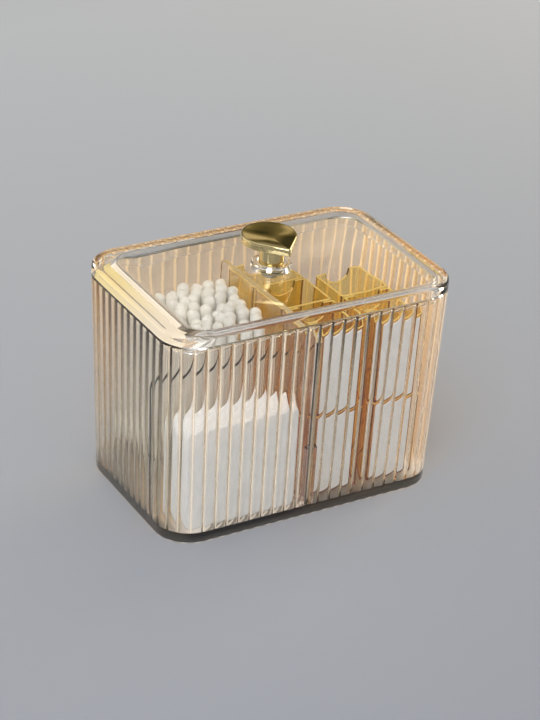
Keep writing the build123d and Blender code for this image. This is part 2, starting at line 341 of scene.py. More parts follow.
def painted_light_part(nodes, links, surface, painted_glow, colours):
    """The surface with painted light where its light mark says so: an opaque, self-lit tone that
    stands in for light the plastic catches. Its colour runs along Y through the given
    (place in metres, colour) pairs, and is deeper where it is faint."""
    strength = mark_value(nodes, "painted_light")
    along = map_range(nodes, links, object_y(nodes, links), (-PAINTED_LIGHT_REACH, PAINTED_LIGHT_REACH))
    stops = [(y / (2 * PAINTED_LIGHT_REACH) + 0.5, colour) for y, colour in colours]
    faint = nodes.new("ShaderNodeMath")
    faint.operation = "SUBTRACT"
    faint.inputs[0].default_value = 1.0
    links.new(strength, faint.inputs[1])
    colour = colour_ramp(nodes, links, along, *stops)
    tone = mix_colours(nodes, links, faint.outputs["Value"], colour, PAINTED_LIGHT_FAINT_TONE, "MULTIPLY")
    front = nodes.new("ShaderNodeBsdfDiffuse")
    behind = nodes.new("ShaderNodeBsdfTranslucent")
    shine = nodes.new("ShaderNodeEmission")
    shine.inputs["Strength"].default_value = painted_glow
    for shader in (front, behind, shine):
        links.new(tone, shader.inputs["Color"])
    lit = mix_shaders(nodes, links, THROUGH_SHARE, front.outputs["BSDF"], behind.outputs["BSDF"])
    both = nodes.new("ShaderNodeAddShader")
    links.new(lit, both.inputs[0])
    links.new(shine.outputs["Emission"], both.inputs[1])
    return mix_shaders(nodes, links, strength, surface, both.outputs["Shader"])


def clear_material(name, tint, density, shadow_tint, ior=1.55, painted_glow=0.0, painted_light=None, painted_dark_reflection=None):
    """Clear moulded plastic: tinted through its depth, slightly wavy, and open to the lamps.
    Where its reflection mark says so it lets less light through, of a darker given colour: a painted
    reflection of a dim room. Where its light mark says so it carries painted light."""
    material, nodes, links, shader = new_material(name)
    shader.inputs["Base Color"].default_value = (1, 1, 1, 1)
    shader.inputs["Transmission Weight"].default_value = 1.0
    shader.inputs["IOR"].default_value = ior
    haze = object_noise(nodes, links, scale=35, detail=2)
    links.new(spread(nodes, links, haze, low=0.0, high=0.015), shader.inputs["Roughness"])
    waves = object_noise(nodes, links, scale=90, detail=1)
    add_bump(nodes, links, shader, waves, strength=0.02, distance=0.4 * MM)
    # Painted reflection: the base colour is drawn darker where marked.
    if painted_dark_reflection:
        tone = mix_colours(nodes, links, mark_value(nodes, "painted_dark_reflection"), (1, 1, 1), painted_dark_reflection)
        links.new(tone, shader.inputs["Base Color"])
    surface = shader.outputs["BSDF"]
    # Painted light: an opaque, self-lit tone where marked.
    if painted_light:
        surface = painted_light_part(nodes, links, surface, painted_glow, painted_light)
    volume = nodes.new("ShaderNodeVolumeAbsorption")
    volume.inputs["Color"].default_value = (*tint, 1)
    volume.inputs["Density"].default_value = density
    rays = nodes.new("ShaderNodeLightPath")
    through = nodes.new("ShaderNodeBsdfTransparent")
    through.inputs["Color"].default_value = (*shadow_tint, 1)
    mix = mix_shaders(
        nodes, links, rays.outputs["Is Shadow Ray"], surface, through.outputs["BSDF"]
    )
    output = nodes["Material Output"]
    links.new(mix, output.inputs["Surface"])
    links.new(volume.outputs["Volume"], output.inputs["Volume"])
    return material


def gold_material():
    material, nodes, links, shader = new_material("gold_plating")
    shader.inputs["Metallic"].default_value = 1.0
    tone = object_noise(nodes, links, scale=120, detail=2)
    colour = two_colours(nodes, links, tone, (0.72, 0.60, 0.30), (0.80, 0.68, 0.38))
    links.new(colour, shader.inputs["Base Color"])
    links.new(spread(nodes, links, tone, low=0.03, high=0.08), shader.inputs["Roughness"])
    polish = object_noise(nodes, links, scale=300, detail=2)
    add_bump(nodes, links, shader, polish, strength=0.01, distance=0.1 * MM)
    return material


def steel_material():
    material, nodes, links, shader = new_material("plated_steel")
    shader.inputs["Metallic"].default_value = 1.0
    tone = object_noise(nodes, links, scale=500, detail=3)
    colour = two_colours(nodes, links, tone, (0.45, 0.45, 0.43), (0.62, 0.62, 0.60))
    links.new(colour, shader.inputs["Base Color"])
    links.new(spread(nodes, links, tone, low=0.2, high=0.4), shader.inputs["Roughness"])
    return material


def cotton_material(name, shade, light, fibre_scale, fibre_height):
    material, nodes, links, shader = new_material(name)
    shader.inputs["Roughness"].default_value = 0.95
    shader.inputs["Sheen Weight"].default_value = 0.3
    cloud = object_noise(nodes, links, scale=160, detail=5)
    links.new(two_colours(nodes, links, cloud, shade, light), shader.inputs["Base Color"])
    fibres = object_noise(nodes, links, fibre_scale, detail=6, stretch=(1, 1, 0.4))
    add_bump(nodes, links, shader, fibres, strength=0.6, distance=fibre_height)
    return material


def paper_material(name, shade, light, roughness):
    material, nodes, links, shader = new_material(name)
    grain = object_noise(nodes, links, scale=900, detail=4)
    links.new(two_colours(nodes, links, grain, shade, light), shader.inputs["Base Color"])
    links.new(spread(nodes, links, grain, roughness, roughness + 0.1), shader.inputs["Roughness"])
    add_bump(nodes, links, shader, grain, strength=0.15, distance=0.05 * MM)
    return material


# Colour of the painted light on the case.
CHAMPAGNE_PAINTED_LIGHT = (1.0, 0.82, 0.56)

CASE_CLEAR = clear_material(
    "clear_plastic",
    tint=(0.96, 0.88, 0.70),
    density=80,
    shadow_tint=(0.97, 0.95, 0.91),
    # The case's painted light: self-lit at 0.30, white at the front and champagne behind; its
    # painted reflection lines on the left wall are near-black olive.
    painted_glow=0.30,
    painted_light=((-35 * MM, (1.0, 1.0, 1.0)), (-20 * MM, CHAMPAGNE_PAINTED_LIGHT), (45 * MM, CHAMPAGNE_PAINTED_LIGHT)),
    painted_dark_reflection=(0.16, 0.17, 0.12),
)
RAIL_CLEAR = clear_material(
    "rail_plastic", tint=(0.96, 0.88, 0.70), density=80, shadow_tint=(0.97, 0.95, 0.91)
)
LID_CLEAR = clear_material(
    "lid_plastic",
    tint=(0.97, 0.94, 0.88),
    density=20,
    shadow_tint=(0.98, 0.97, 0.96),
    ior=1.57,
    # The lid's painted light: a self-lit cream band, at 0.16, yellower towards the back.
    painted_glow=0.16,
    painted_light=((-20 * MM, (1.0, 0.92, 0.76)), (25 * MM, (1.0, 0.86, 0.42))),
)
DIVIDER_CLEAR = clear_material(
    "divider_plastic",
    tint=(0.96, 0.89, 0.75),
    density=40,
    shadow_tint=(0.97, 0.95, 0.91),
    # The dividers' painted light along their top edge, self-lit at 0.1.
    painted_glow=0.1,
    painted_light=((-40 * MM, (1.0, 0.86, 0.56)), (40 * MM, (1.0, 0.82, 0.46))),
)
AMBER = clear_material(
    "amber_plastic",
    tint=(0.955, 0.86, 0.28),
    density=860,
    shadow_tint=(0.95, 0.86, 0.52),
    # The bins' painted light: golden rims and a faint tone over the rest, self-lit at 0.07.
    painted_glow=0.07,
    painted_light=((-40 * MM, (1.0, 0.78, 0.26)), (40 * MM, (1.0, 0.80, 0.30))),
)
GOLD = gold_material()
STEEL = steel_material()
PAD_COTTON = cotton_material(
    "pad_cotton", (0.75, 0.78, 0.84), (0.83, 0.86, 0.92), fibre_scale=2500, fibre_height=0.15 * MM
)
SWAB_COTTON = cotton_material(
    "swab_cotton", (0.71, 0.70, 0.65), (0.85, 0.84, 0.79), fibre_scale=3500, fibre_height=0.12 * MM
)
STICK_PAPER = paper_material(
    "stick_paper", (0.80, 0.79, 0.75), (0.88, 0.87, 0.84), roughness=0.6
)
LABEL_PAPER = paper_material(
    "label_paper", (0.80, 0.82, 0.87), (0.86, 0.88, 0.93), roughness=0.45
)


def dress(piece, material, body, slot, *nodes):
    """Gives a piece its material and the body it rides on, and hides the nodes it stands for. The
    slot is not used.
    """
    piece.data.materials.clear()
    piece.data.materials.append(material)
    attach(piece, body)
    if nodes:
        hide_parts(*nodes)
    return piece


# ======== case ========

def case_half(size, z):
    return size / 2 - CASE_DRAFT * (1 - z / CASE_HEIGHT)


def case_ring(z, inset):
    outline = case_outline(
        case_half(CASE_LENGTH, z) - inset, case_half(CASE_WIDTH, z) - inset, CORNER_RADIUS - inset
    )
    return at_height(outline, z)


def flute_ring(z):
    outline = case_outline(
        case_half(CASE_LENGTH, z) - WALL,
        case_half(CASE_WIDTH, z) - WALL,
        CORNER_RADIUS - WALL,
        FLUTE_DEPTH,
    )
    return at_height(outline, z)


# How strong the case's painted marks are: painted highlight lines on the cusps at the back,
# at the right and before the pads, painted light over the inner back wall towards its rim
# and over the right wall, a painted highlight along the foot, and painted reflection lines,
# coming out darker, on the left wall. A pair is for a point on a cusp and for one beside it.
BACK_LINE = (0.97, 0.75)
PAD_LINE = (0.75, 0.35)
LEFT_LINE = (1.0, 0.6)
RIM_PAINTED_LIGHT = 0.45
RIGHT_PAINTED_LIGHT = 0.25
FOOT_LINE = 0.8
FOOT_LINE_RINGS = (2, 4)
# Where each mark begins and where it is full: X_FADE towards X, X_FADE_FROM_Y away from Y.
BACK_FADE = (36 * MM, 43 * MM)
BACK_FADE_FROM_LEFT = (-70 * MM, -56 * MM)
FRONT_FADE = (30 * MM, 38 * MM)
PAD_FADE_FROM_RIGHT = (0, 8 * MM)
RIGHT_FADE = (50 * MM, 68 * MM)
LEFT_FADE = (58 * MM, 66 * MM)
LEFT_FADE_FROM_BACK = (-40 * MM, -34 * MM)


def cusp_distance(index):
    """0 for a point on a cusp between two flutes, 1 for one beside it, None for any other."""
    step = index % FLUTE_STEPS
    return 0 if step == 0 else 1 if step in (1, FLUTE_STEPS - 1) else None


def build_case():
    rings = []
    for rise, reach in arc_fractions(steps=4):
        rings.append(case_ring(FOOT_RADIUS * (1 - reach), FOOT_RADIUS * (1 - rise)))
    for rise, reach in arc_fractions(steps=3):
        rings.append(case_ring(CASE_HEIGHT - RIM_RADIUS * (1 - rise), RIM_RADIUS * (1 - reach)))
    rings.append(flute_ring(CASE_HEIGHT))
    rings.append(flute_ring(CASE_FLOOR))
    shell = ring_solid("case_shell", rings)
    count = len(rings[0])
    inside = (len(rings) - 2) * count

    def painted_light_at(index, place):
        """Painted light: the foot's edge gets a painted highlight, and so do the cusps and flutes
        inside at the back and the right, and the cusps before the pads."""
        first, last = FOOT_LINE_RINGS
        if first * count <= index < last * count:
            return FOOT_LINE * sin(pi * (index % FLUTE_STEPS) / FLUTE_STEPS)
        if index < inside:
            return 0.0
        near = cusp_distance(index)
        behind = smooth_step(place.y, *BACK_FADE) * (place.z / CASE_HEIGHT)
        behind *= smooth_step(place.x, *BACK_FADE_FROM_LEFT)
        right = smooth_step(place.x, *RIGHT_FADE)
        if near is None:
            return max(RIM_PAINTED_LIGHT * behind, RIGHT_PAINTED_LIGHT * right)
        pads = smooth_step(-place.y, *FRONT_FADE) * smooth_step(-place.x, *PAD_FADE_FROM_RIGHT)
        return max(PAD_LINE[near] * pads, BACK_LINE[near] * max(behind, right))

    def painted_dark_reflection_at(index, place):
        """Painted reflection: the cusps of the left wall and its front corner come out darker, as a
        mirrored dim room.
        """
        near = cusp_distance(index)
        if index < inside or near is None:
            return 0.0
        left = smooth_step(-place.x, *LEFT_FADE) * smooth_step(-place.y, *LEFT_FADE_FROM_BACK)
        return LEFT_LINE[near] * left

    mark_points(shell, "painted_light", painted_light_at)
    mark_points(shell, "painted_dark_reflection", painted_dark_reflection_at)
    return dress(shell, CASE_CLEAR, "case", "clear_plastic", "case")


RAIL_THICKNESS = 1.6 * MM
RAIL_HEIGHT = 30 * MM
RAIL_REACH = 2.5 * MM
RAIL_GAP = 0.05 * MM
DIVIDER_THICKNESS = 2.2 * MM
DIVIDER_PLAY = 0.15 * MM
RAIL_OFFSET = DIVIDER_THICKNESS / 2 + DIVIDER_PLAY + RAIL_THICKNESS / 2
PAD_DIVIDER_Y = (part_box("pad_divider")[0].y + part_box("pad_divider")[1].y) / 2


def rail_solid(centre_x, centre_y, outward, size):
    """Upright rail on the inside of the wall that lies outward; it leans with the wall."""
    points = []
    half = RAIL_THICKNESS / 2
    for z in (CASE_FLOOR + RAIL_GAP, CASE_FLOOR + RAIL_HEIGHT):
        wall = case_half(size, z) - WALL - RAIL_GAP
        inner = case_half(size, CASE_FLOOR) - WALL - RAIL_REACH
        along = Vector((-outward.y, outward.x))
        middle = Vector((centre_x, centre_y))
        for reach, side in ((inner, -half), (wall, -half), (wall, half), (inner, half)):
            point = middle + outward * reach + along * side
            points.append(Vector((point.x, point.y, z)))
    return points, ring_faces(count=4, levels=2)


def build_rails():
    solids = []
    for side in (-1, 1):
        for end in (-1, 1):
            solids.append(rail_solid(side * RAIL_OFFSET, 0, Vector((0, end)), CASE_WIDTH))
        solids.append(
            rail_solid(0, PAD_DIVIDER_Y + side * RAIL_OFFSET, Vector((-1, 0)), CASE_LENGTH)
        )
    return dress(join_solids("case_rails", solids), RAIL_CLEAR, "case", "clear_plastic")


# ======== lid ========

def lid_ring(inset, z):
    outline = case_outline(CASE_LENGTH / 2 - inset, CASE_WIDTH / 2 - inset, CORNER_RADIUS - inset)
    return at_height(outline, z)


def hollow_ring(shift, z, inset):
    """The lid's hollow at a height: its left end is moved inwards by shift."""
    offset = RECESS_OFFSET + inset
    outline = case_outline(CASE_LENGTH / 2 - offset, CASE_WIDTH / 2 - offset, CORNER_RADIUS - offset)
    straight = CASE_LENGTH / 2 - CORNER_RADIUS
    ring = []
    for x, y in outline:
        share = min(1.0, max(0.0, (straight - x) / (2 * straight)))
        ring.append(Vector((x + (shift - inset) * share, y, z)))
    return ring


LID_TOP = CASE_HEIGHT + LID_SIDE
PLATE_UNDERSIDE = LID_TOP - LID_PLATE
LIP_BOTTOM = CASE_HEIGHT - LIP_DEPTH
# The lid's painted light: a self-lit cream band on the lower part of its sloping left end; how
# strong, how high, and which faces.
BEVEL_GLOW = 0.88
BEVEL_BRIGHT = 4.0 * MM
BEVEL_WITHIN_X = -45 * MM
BEVEL_FACING_X = 0.68
BEVEL_FACING_Z = -0.2


def build_lid():
    rings = []
    for rise, reach in arc_fractions(steps=6):
        rings.append(lid_ring(LID_EDGE * (1 - rise), LID_TOP - LID_EDGE * (1 - reach)))
    rings.append(lid_ring(0, CASE_HEIGHT + SMALL_EDGE))
    rings.append(lid_ring(SMALL_EDGE, CASE_HEIGHT + SEAT_GAP))
    rings.append(lid_ring(LIP_OFFSET, CASE_HEIGHT + SEAT_GAP))
    rings.append(lid_ring(LIP_OFFSET, LIP_BOTTOM + SMALL_EDGE))
    rings.append(lid_ring(LIP_OFFSET + SMALL_EDGE, LIP_BOTTOM))
    rings.append(lid_ring(RECESS_OFFSET - SMALL_EDGE, LIP_BOTTOM))
    slope = (PLATE_UNDERSIDE - LIP_BOTTOM) / LID_BEVEL
    for rise in (SMALL_EDGE, BEVEL_BRIGHT):
        rings.append(hollow_ring(rise / slope, LIP_BOTTOM + rise, 0))
    ease = RECESS_FILLET / slope
    for rise, reach in arc_fractions(steps=5):
        shift = LID_BEVEL + ease * (1 - 2 * sqrt(1 - rise))
        z = PLATE_UNDERSIDE - RECESS_FILLET * (1 - rise)
        rings.append(hollow_ring(shift, z, RECESS_FILLET * (1 - reach)))
    shell = ring_solid("lid_shell", rings)

    def painted_light_at(middle, normal):
        """Painted light: the lower part of the hollow's sloping left end gets a self-lit cream band.
        """
        facing = normal.x > BEVEL_FACING_X and normal.z < BEVEL_FACING_Z
        low_left = middle.x < BEVEL_WITHIN_X and middle.z < LIP_BOTTOM + BEVEL_BRIGHT
        return BEVEL_GLOW if facing and low_left else 0.0

    mark_faces(shell, "painted_light", painted_light_at)
    return dress(shell, LID_CLEAR, "lid", "lid_plastic", "lid")


def turned(profile, segments=72):
    """Vertices and faces of a closed turned solid about the origin's upright axis."""
    points = []
    for radius, z in profile:
        for i in range(segments):
            angle = 2 * pi * i / segments
            points.append(Vector((radius * cos(angle), radius * sin(angle), z)))
    return points, ring_faces(segments, len(profile))


def turned_ring(profile, segments=72):
    """As turned, for a ring: the profile closes on itself and never meets the axis."""
    points, faces = [], []
    count = len(profile)
    for i in range(segments):
        angle = 2 * pi * i / segments
        points += [Vector((r * cos(angle), r * sin(angle), z)) for r, z in profile]
    for i in range(segments):
        a, b = i * count, (i + 1) % segments * count
        for k in range(count):
            n = (k + 1) % count
            faces.append((a + k, b + k, b + n, a + n))
    return points, faces


STEM_RADIUS = 5.8 * MM
STEM_HEIGHT = 11.8 * MM
COLLAR_PLAY = 0.2 * MM
COLLAR_WIDTH = 3.2 * MM
COLLAR_INNER = STEM_RADIUS + COLLAR_PLAY
COLLAR_OUTER = COLLAR_INNER + COLLAR_WIDTH
COLLAR_HEIGHT = 3.0 * MM
COLLAR_EDGE = 0.8 * MM


def build_collar():
    low = LID_TOP + SEAT_GAP
    top = LID_TOP + COLLAR_HEIGHT
    profile = [(COLLAR_INNER, low), (COLLAR_OUTER, low)]
    for rise, reach in arc_fractions(steps=5):
        profile.append((COLLAR_OUTER - COLLAR_EDGE * (1 - reach), top - COLLAR_EDGE * (1 - rise)))
    for rise, reach in arc_fractions(steps=5):
        profile.append((COLLAR_INNER + COLLAR_EDGE * (1 - rise), top - COLLAR_EDGE * (1 - reach)))
    collar = join_solids("knob_collar", [turned_ring(profile)])
    return dress(collar, LID_CLEAR, "lid", "lid_plastic")


# ======== knob ========

CAP_RADIUS = 12.8 * MM
CAP_CENTRE_Y = 3.2 * MM
CAP_TIP_Y = -15.5 * MM
CAP_TIP_RADIUS = 1.2 * MM
CAP_TIP_LEAST = 0.05 * MM
CAP_THICKNESS = 3.7 * MM
CAP_EDGE = 0.8 * MM
CAP_DISH = 0.7 * MM
CAP_DISH_RINGS = (0.97, 0.93, 0.85, 0.7, 0.5, 0.3, 0.12)    # shares of the rim's size
STEM_EDGE = 0.3 * MM
NECK_HEIGHT = 1.2 * MM
NECK_STEP = 0.4 * MM
NECK_FLARE = 1.1 * MM


def leaf_outline(inset, steps=48, tip_steps=8):
    """Hull of a large and a small circle, both smaller by inset."""
    tip_centre = CAP_TIP_Y + CAP_TIP_RADIUS
    big, small = CAP_RADIUS - inset, max(CAP_TIP_RADIUS - inset, CAP_TIP_LEAST)
    lean = asin((CAP_RADIUS - CAP_TIP_RADIUS) / (CAP_CENTRE_Y - tip_centre))
    outline = []
    sweep = pi + 2 * lean
    for i in range(steps + 1):
        angle = -lean + sweep * i / steps
        outline.append((big * cos(angle), CAP_CENTRE_Y + big * sin(angle)))
    for i in range(tip_steps + 1):
        angle = pi + lean + (pi - 2 * lean) * i / tip_steps
        outline.append((small * cos(angle), tip_centre + small * sin(angle)))
    return outline


def build_knob_cap(bottom):
    top = bottom + CAP_THICKNESS
    edge = CAP_EDGE / 2
    rings = []
    for rise, reach in arc_fractions(steps=3):
        rings.append(at_height(leaf_outline(edge * (1 - rise)), bottom + edge * (1 - reach)))
    for rise, reach in arc_fractions(steps=6):
        rings.append(at_height(leaf_outline(CAP_EDGE * (1 - reach)), top - CAP_EDGE * (1 - rise)))
    rim = leaf_outline(CAP_EDGE)
    for share in CAP_DISH_RINGS:
        depth = CAP_DISH * (1 - share * share)
        rings.append([Vector((x * share, y * share, top - depth)) for x, y in rim])
    cap = ring_solid("knob_leaf", rings, crease=35)
    dress(cap, GOLD, "lid", "gold_plating", "knob_cap")


def build_knob():
    foot = LID_TOP
    bottom = foot + STEM_HEIGHT
    build_knob_cap(bottom)
    profile = [
        (STEM_RADIUS - STEM_EDGE, foot),
        (STEM_RADIUS, foot + STEM_EDGE),
        (STEM_RADIUS, bottom - NECK_HEIGHT),
        (STEM_RADIUS + NECK_STEP, bottom - NECK_STEP),
        (STEM_RADIUS + NECK_FLARE, bottom + SEAT_GAP),
    ]
    stem = join_solids("knob_post", [turned(profile)])
    dress(stem, GOLD, "lid", "gold_plating", "knob_stem")
    for node in ("knob_washer", "knob_screw"):
        part = frame["nodes"][node]
        part.data.materials.clear()
        part.data.materials.append(STEEL)


# ======== dividers ========

DIVIDER_GAP = 0.4 * MM
DIVIDER_CORNER = 3 * MM
DIVIDER_CORNER_STEPS = 6
DIVIDER_EDGE = 0.3 * MM
# Painted light along the divider's top edge: how strong, and which faces count as top.
DIVIDER_GLOW = 0.7
DIVIDER_TOP_FACING = 0.4


def plate_solid(outline, to_space, thickness):
    """Plate with small rounded edges; to_space(a, b, depth) places its outline and depth."""
    centre = Vector((sum(a for a, b in outline), sum(b for a, b in outline))) / len(outline)
    rings = []
    levels = [(-thickness / 2, DIVIDER_EDGE), (-thickness / 2 + DIVIDER_EDGE, 0)]
    levels += [(thickness / 2 - DIVIDER_EDGE, 0), (thickness / 2, DIVIDER_EDGE)]
    for depth, inset in levels:
        ring = []
        for a, b in outline:
            reach = Vector((a, b)) - centre
            point = centre + reach * (1 - inset / reach.length)
            ring.append(to_space(point.x, point.y, depth))
        rings.append(ring)
    points = [point for ring in rings for point in ring]
    return points, ring_faces(len(outline), len(rings))


def upright_outline(low_left, low_right, top_left, top_right, z_low, z_high):
    """Upright plate's outline with its two top corners rounded."""
    outline = [(low_left, z_low), (low_right, z_low)]
    for start, centre in ((0, top_right - DIVIDER_CORNER), (pi / 2, top_left + DIVIDER_CORNER)):
        for i in range(DIVIDER_CORNER_STEPS + 1):
            angle = start + pi / 2 * i / DIVIDER_CORNER_STEPS
            z = z_high - DIVIDER_CORNER + DIVIDER_CORNER * sin(angle)
            outline.append((centre + DIVIDER_CORNER * cos(angle), z))
    return outline


def wall_reach(size, z):
    """How far a divider reaches at a height, from the middle of a case of this size."""
    return case_half(size, z) - WALL - DIVIDER_GAP


def build_cross_divider():
    low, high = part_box("cross_divider")
    bottom = low.z + SEAT_GAP
    foot, top = wall_reach(CASE_WIDTH, low.z), wall_reach(CASE_WIDTH, high.z)
    outline = upright_outline(-foot, foot, -top, top, bottom, high.z)
    solids = [plate_solid(outline, lambda a, b, depth: Vector((depth, a, b)), DIVIDER_THICKNESS)]
    face = -DIVIDER_THICKNESS / 2 - SEAT_GAP
    for side in (-1, 1):
        middle = PAD_DIVIDER_Y + side * RAIL_OFFSET
        rail_low = Vector((low.x, middle - RAIL_THICKNESS / 2, bottom))
        rail_high = Vector((face, middle + RAIL_THICKNESS / 2, low.z + RAIL_HEIGHT))
        solids.append(box_solid(rail_low, rail_high))
    plate = join_solids("cross_divider_plate", solids)

    def painted_light_at(middle, normal):
        """Painted light: the plate's top edge gets a self-lit band."""
        return DIVIDER_GLOW if normal.z > DIVIDER_TOP_FACING else 0.0

    mark_faces(plate, "painted_light", painted_light_at)
    dress(plate, DIVIDER_CLEAR, "cross_divider", "divider_plastic", "cross_divider")


def build_pad_divider():
    low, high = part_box("pad_divider")
    foot, top = wall_reach(CASE_LENGTH, low.z), wall_reach(CASE_LENGTH, high.z)
    outline = upright_outline(-foot, high.x, -top, high.x, low.z + SEAT_GAP, high.z)
    solid = plate_solid(
        outline, lambda a, b, depth: Vector((a, PAD_DIVIDER_Y - depth, b)), DIVIDER_THICKNESS
    )
    plate = join_solids("pad_divider_plate", [solid])
    dress(plate, DIVIDER_CLEAR, "pad_divider", "divider_plastic", "pad_divider")


# ======== amber bins ========

BIN_WALL = 1.2 * MM
BIN_CORNER = 1.6 * MM
BIN_LEAST_CORNER = 0.3 * MM
BIN_CORNER_STEPS = 5
BIN_EDGE = 0.35 * MM
SCOOP_RADIUS = 6.5 * MM
BIN_SIDE_STEPS = 40
# Painted light on the bins: the rim's self-lit tone, a faint one over the rest, and what counts as
# rim.
BIN_RIM_GLOW = 0.9
BIN_GLOW = 0.02
BIN_RIM_FACING = 0.5
BIN_RIM_ABOVE_FLOOR = 2 * MM


def bin_ring(low, high, inset, z, scoop):
    """Outline of a bin at a height; scoop lowers it in the finger scoop of the back wall."""
    middle = (low + high) / 2
    half_x, half_y = (high.x - low.x) / 2 - inset, (high.y - low.y) / 2 - inset
    radius = max(BIN_CORNER - inset, BIN_LEAST_CORNER)
    outline = rounded_rectangle(half_x, half_y, radius, BIN_CORNER_STEPS, BIN_SIDE_STEPS)
    ring = []
    for x, y in outline:
        dip = 0.0
        if scoop and y > half_y - radius / 2 and abs(x) < scoop:
            dip = sqrt(scoop * scoop - x * x)
        ring.append(Vector((middle.x + x, middle.y + y, z - dip)))
    return ring


def build_bin(node, body):
    low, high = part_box(node)
    foot = low.z + SEAT_GAP
    floor_z = low.z + BIN_WALL
    levels = (
        (BIN_EDGE, foot, 0),
        (0, foot + BIN_EDGE, 0),
        (0, high.z - BIN_EDGE, SCOOP_RADIUS),
        (BIN_EDGE, high.z, SCOOP_RADIUS),
        (BIN_WALL - BIN_EDGE, high.z, SCOOP_RADIUS),
        (BIN_WALL, high.z - BIN_EDGE, SCOOP_RADIUS),
        (BIN_WALL, floor_z + BIN_EDGE, 0),
        (BIN_WALL + BIN_EDGE, floor_z, 0),
    )
    rings = [bin_ring(low, high, inset, z, scoop) for inset, z, scoop in levels]
    shell = ring_solid(node + "_shell", rings)

    def painted_light_at(middle, normal):
        """Painted light: the thin rim gets a golden, self-lit tone, and all the rest a little of it.
        """
        rim = normal.z > BIN_RIM_FACING and middle.z > floor_z + BIN_RIM_ABOVE_FLOOR
        return BIN_RIM_GLOW if rim else BIN_GLOW

    mark_faces(shell, "painted_light", painted_light_at)
    return dress(shell, AMBER, body, "amber_plastic", node)


LABEL_EDGE = 0.15 * MM
LABEL_CORNER = 0.8 * MM
LABEL_CORNER_STEPS = 5


def build_label(node, body):
    low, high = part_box(node)
    middle = (low + high) / 2
    half_x, half_z = (high.x - low.x) / 2, (high.z - low.z) / 2
    rings = []
    for depth, inset in ((high.y, 0.0), (low.y + LABEL_EDGE, 0.0), (low.y, LABEL_EDGE)):
        outline = rounded_rectangle(
            half_x - inset, half_z - inset, LABEL_CORNER, LABEL_CORNER_STEPS
        )
        rings.append([Vector((middle.x + x, depth, middle.z + z)) for x, z in outline])
    plate = ring_solid(node + "_sheet", rings)
    return dress(plate, LABEL_PAPER, body, "pale_label", node)


def body_holding(node):
    """The body that the record puts a node in."""
    for body, nodes in frame["record"]["behaviour"]["bodies"].items():
        if node in nodes:
            return body


def build_bins():
    for node in sorted(frame["nodes"]):
        if node.startswith("bin_label"):
            build_label(node, body_holding(node))
        elif node.startswith("bin_"):
            build_bin(node, body_holding(node))


# ======== cotton pads ========

PAD_COUNT = 7
PAD_THICKNESS = 2.0 * MM
PAD_GAP = 0.3 * MM
PAD_CORNER = 5 * MM
PAD_GRID = (56, 68)
PAD_SOFT_EDGE = 0.06
PAD_RIM_SHARE = 0.25        # of the pad's thickness, left at its edge
PAD_RIB = 6.2 * MM
PAD_DENT = 0.3 * MM
PAD_WANDER = 0.9            # how far the rows of dents stray, in half ribs
PAD_WANDER_SCALE = (60, 90)
PAD_ROUGH = 0.14 * MM
PAD_ROUGH_SCALE = 300
PAD_CALM_EDGE = 0.8          # share of the relief that is gone at the very edge
PAD_SEED_STEP = 3.7
PAD_WANDER_SEED = 9


def pad_point(u, v, half_x, half_z):
    """Place on a rounded rectangle for u and v from -1 to 1."""
    x, z = u * half_x, v * half_z
    over_x, over_z = abs(x) - (half_x - PAD_CORNER), abs(z) - (half_z - PAD_CORNER)
    if over_x > 0 and over_z > 0:
        a, b = over_x / PAD_CORNER, over_z / PAD_CORNER
        x = (half_x - PAD_CORNER + PAD_CORNER * a * sqrt(1 - b * b / 2)) * (1 if u > 0 else -1)
        z = (half_z - PAD_CORNER + PAD_CORNER * b * sqrt(1 - a * a / 2)) * (1 if v > 0 else -1)
    return x, z


def pad_relief(u, v, x, z, seed):
    """Half of a pad's thickness at a place: dented in rows, rough, and thin at the edge."""
    edge = max(0.0, (max(abs(u), abs(v)) - 1 + PAD_SOFT_EDGE) / PAD_SOFT_EDGE)
    round_off = sqrt(max(0.0, 1 - edge * edge))
    thick = PAD_THICKNESS / 2 * (PAD_RIM_SHARE + (1 - PAD_RIM_SHARE) * round_off)
    wander_x, wander_z = PAD_WANDER_SCALE
    stray = noise.noise(Vector((x * wander_x, z * wander_z, seed + PAD_WANDER_SEED)))
    dent = PAD_DENT * (0.5 + 0.5 * cos(x * 2 * pi / PAD_RIB + PAD_WANDER * stray * pi)) ** 3
    rough = noise.noise(Vector((x * PAD_ROUGH_SCALE, z * PAD_ROUGH_SCALE, seed)))
    return thick - (dent + abs(PAD_ROUGH * rough)) * (1 - edge * edge * PAD_CALM_EDGE)


def pad_solid(low, high, centre_y, seed):
    """One soft pad that stands on edge: pressed rows of small dents, and thin rounded edges."""
    columns, rows = PAD_GRID
    half_x, half_z = (high.x - low.x) / 2, (high.z - low.z) / 2
    middle = (low + high) / 2
    points = []
    for side in (-1, 1):
        for j in range(rows + 1):
            for i in range(columns + 1):
                u, v = 2 * i / columns - 1, 2 * j / rows - 1
                x, z = pad_point(u, v, half_x, half_z)
                y = side * pad_relief(u, v, x, z, seed)
                points.append(Vector((middle.x + x, centre_y + y, middle.z + z)))
    faces = []
    stride = columns + 1
    sheet = stride * (rows + 1)
    for j in range(rows):
        for i in range(columns):
            a = j * stride + i
            faces.append((a, a + 1, a + stride + 1, a + stride))
            faces.append((sheet + a, sheet + a + stride, sheet + a + stride + 1, sheet + a + 1))
    rim = list(range(stride))
    rim += [j * stride + columns for j in range(1, rows + 1)]
    rim += [rows * stride + i for i in reversed(range(columns))]
    rim += [j * stride for j in reversed(range(1, rows))]
    for k, a in enumerate(rim):
        b = rim[(k + 1) % len(rim)]
        faces.append((a, sheet + a, sheet + b, b))
    return points, faces


